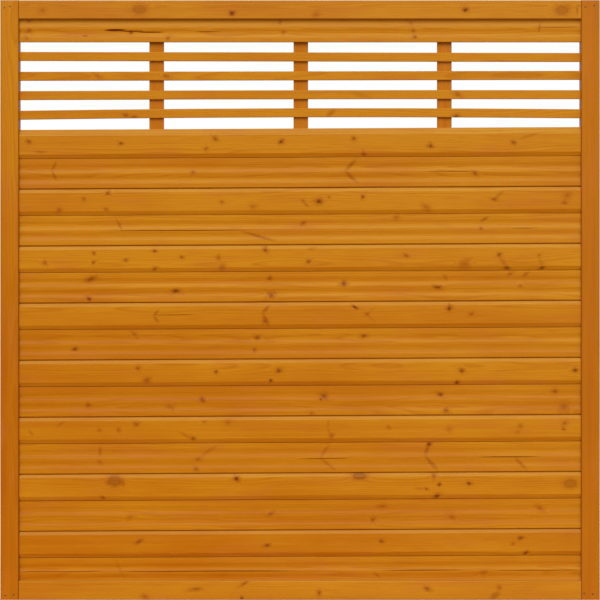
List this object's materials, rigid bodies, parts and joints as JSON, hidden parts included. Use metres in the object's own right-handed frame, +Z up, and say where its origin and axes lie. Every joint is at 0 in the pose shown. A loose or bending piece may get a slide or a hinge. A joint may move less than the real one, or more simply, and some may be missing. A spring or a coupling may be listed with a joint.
{
  "type": "horizontal board fence panel",
  "caption": "Square softwood fence panel: grooved frame filled with alternating flat and wave-profiled horizontal boards, and a slatted lattice strip under the top rail.",
  "frame": {"origin": "middle of the panel's foot, halfway through its depth", "axes": "+Z up, X along the boards, +Y through the panel from its front to its back"},
  "size_m": [1.8, 0.045, 1.8],
  "materials": {
    "frame_wood": "honey stained pine, satin",
    "board_wood": "honey stained pine, satin",
    "lattice_wood": "honey stained pine, satin",
    "nail_steel": "darkened by the stain"
  },
  "bodies": {
    "root": {"left_stile": "frame_wood", "right_stile": "frame_wood", "top_rail": "frame_wood", "bottom_rail": "frame_wood", "top_wave_board": "board_wood", "flat_board_1": "board_wood", "flat_board_2": "board_wood", "flat_board_3": "board_wood", "flat_board_4": "board_wood", "flat_board_5": "board_wood", "flat_board_6": "board_wood", "flat_board_7": "board_wood", "flat_board_8": "board_wood", "wave_board_1": "board_wood", "wave_board_2": "board_wood", "wave_board_3": "board_wood", "wave_board_4": "board_wood", "wave_board_5": "board_wood", "wave_board_6": "board_wood", "wave_board_7": "board_wood", "wave_board_8": "board_wood", "lattice_slat_1": "lattice_wood", "lattice_slat_2": "lattice_wood", "lattice_slat_3": "lattice_wood", "lattice_slat_4": "lattice_wood", "lattice_upright_1": "lattice_wood", "lattice_upright_2": "lattice_wood", "lattice_upright_3": "lattice_wood", "corner_nails": "nail_steel", "lattice_nails": "nail_steel"}
  },
  "joints": []
}
